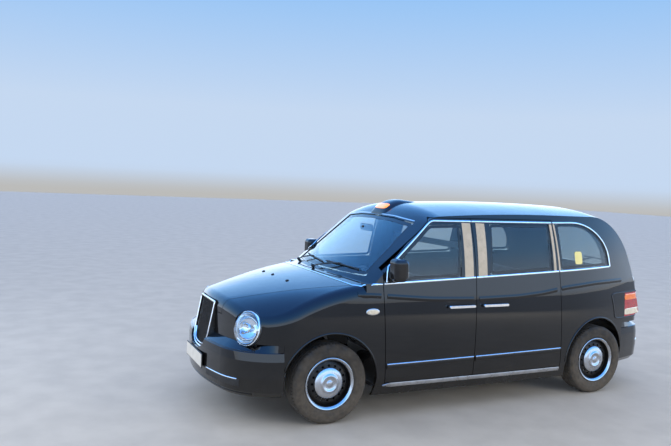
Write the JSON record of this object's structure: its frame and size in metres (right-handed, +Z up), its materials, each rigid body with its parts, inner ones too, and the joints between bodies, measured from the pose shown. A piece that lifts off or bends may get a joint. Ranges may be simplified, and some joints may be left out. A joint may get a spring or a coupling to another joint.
{
  "type": "taxi cab",
  "caption": "Tall five-door taxi cab with a shield grille, round headlamps, rear-hinged back doors, a roof sign, a glazed cabin and steel disc wheels.",
  "frame": {"origin": "on the ground, halfway between the bumpers and the flanks", "axes": "+X forward, +Y to the cab's left, +Z up"},
  "size_m": [4.8568, 2.036, 1.888],
  "materials": {
    "black_paint": "gloss",
    "clear_glass": "clear",
    "black_plastic": "satin",
    "lamp_reflector": "polished",
    "red_lens": "gloss",
    "orange_sign": "gloss",
    "chassis_steel": "satin",
    "engine_iron": "rough",
    "radiator_core": "matt",
    "floor_cover": "matt",
    "seat_cloth": "woven",
    "partition_panel": "satin",
    "wheel_steel": "satin",
    "tyre_rubber": "dusty"
  },
  "bodies": {
    "body_shell": {"left_side_frame": "black_paint", "right_side_frame": "black_paint", "tail_lamps": "red_lens", "roof_panel": "black_paint", "windscreen": "clear_glass", "quarter_glass": "clear_glass", "front_wings": "black_paint", "scuttle": "black_plastic", "headlamp_lenses": "clear_glass", "headlamp_bowls": "lamp_reflector", "grille": "black_plastic", "front_bumper": "black_paint", "rear_bumper": "black_paint", "rear_panel": "black_paint", "floor_pan": "floor_cover", "chassis_frame": "chassis_steel", "engine_block": "engine_iron", "radiator": "radiator_core", "front_wishbones": "chassis_steel", "rear_axle": "chassis_steel", "roof_sign": "orange_sign", "dashboard": "black_plastic", "steering_wheel": "black_plastic", "driver_seat": "seat_cloth", "rear_seat": "seat_cloth", "partition": "partition_panel", "jump_seats": "seat_cloth"},
    "front_left_door_leaf": {"front_left_door": "black_paint", "front_left_door_glass": "clear_glass", "left_mirror": "black_plastic"},
    "rear_left_door_leaf": {"rear_left_door": "black_paint", "rear_left_door_glass": "clear_glass"},
    "steer_left": {"left_knuckle": "chassis_steel"},
    "roll_front_left": {"front_left_wheel": "wheel_steel", "front_left_tyre": "tyre_rubber"},
    "roll_rear_left": {"rear_left_wheel": "wheel_steel", "rear_left_tyre": "tyre_rubber"},
    "front_right_door_leaf": {"front_right_door": "black_paint", "front_right_door_glass": "clear_glass", "right_mirror": "black_plastic"},
    "rear_right_door_leaf": {"rear_right_door": "black_paint", "rear_right_door_glass": "clear_glass"},
    "steer_right": {"right_knuckle": "chassis_steel"},
    "roll_front_right": {"front_right_wheel": "wheel_steel", "front_right_tyre": "tyre_rubber"},
    "roll_rear_right": {"rear_right_wheel": "wheel_steel", "rear_right_tyre": "tyre_rubber"},
    "bonnet_lid": {"bonnet": "black_paint"},
    "tailgate_lid": {"tailgate": "black_paint", "rear_screen": "clear_glass"}
  },
  "joints": [
    {"name": "front_left_door_hinge", "type": "hinge", "parent": "body_shell", "child": "front_left_door_leaf", "pos_m": [1.039, 0.93, 0.75], "axis": [0, 0, -1], "range_deg": [0, 68]},
    {"name": "rear_left_door_hinge", "type": "hinge", "parent": "body_shell", "child": "rear_left_door_leaf", "pos_m": [-0.988, 0.931, 0.75], "axis": [0, 0, 1], "range_deg": [0, 85]},
    {"name": "front_right_door_hinge", "type": "hinge", "parent": "body_shell", "child": "front_right_door_leaf", "pos_m": [1.039, -0.93, 0.75], "axis": [0, 0, 1], "range_deg": [0, 68]},
    {"name": "rear_right_door_hinge", "type": "hinge", "parent": "body_shell", "child": "rear_right_door_leaf", "pos_m": [-0.988, -0.931, 0.75], "axis": [0, 0, -1], "range_deg": [0, 85]},
    {"name": "bonnet_hinge", "type": "hinge", "parent": "body_shell", "child": "bonnet_lid", "pos_m": [1.2, 0, 1.155], "axis": [0, -1, 0], "range_deg": [0, 58]},
    {"name": "tailgate_hinge", "type": "hinge", "parent": "body_shell", "child": "tailgate_lid", "pos_m": [-1.573, 0, 1.8], "axis": [0, 1, 0], "range_deg": [0, 80]},
    {"name": "left_steering_swivel", "type": "hinge", "parent": "body_shell", "child": "steer_left", "pos_m": [1.5, 0.745, 0.343], "axis": [0, 0, 1], "range_deg": [-45, 45]},
    {"name": "right_steering_swivel", "type": "hinge", "parent": "body_shell", "child": "steer_right", "pos_m": [1.5, -0.745, 0.343], "axis": [0, 0, 1], "range_deg": [-45, 45]},
    {"name": "front_left_wheel_spin", "type": "hinge", "parent": "steer_left", "child": "roll_front_left", "pos_m": [1.5, 0.795, 0.343], "axis": [0, 1, 0], "continuous": true},
    {"name": "rear_left_wheel_spin", "type": "hinge", "parent": "body_shell", "child": "roll_rear_left", "pos_m": [-1.485, 0.795, 0.343], "axis": [0, 1, 0], "continuous": true},
    {"name": "front_right_wheel_spin", "type": "hinge", "parent": "steer_right", "child": "roll_front_right", "pos_m": [1.5, -0.795, 0.343], "axis": [0, 1, 0], "continuous": true},
    {"name": "rear_right_wheel_spin", "type": "hinge", "parent": "body_shell", "child": "roll_rear_right", "pos_m": [-1.485, -0.795, 0.343], "axis": [0, 1, 0], "continuous": true}
  ],
  "couplings": [
    {"joint": "right_steering_swivel", "follows": "left_steering_swivel", "ratio": 1}
  ]
}
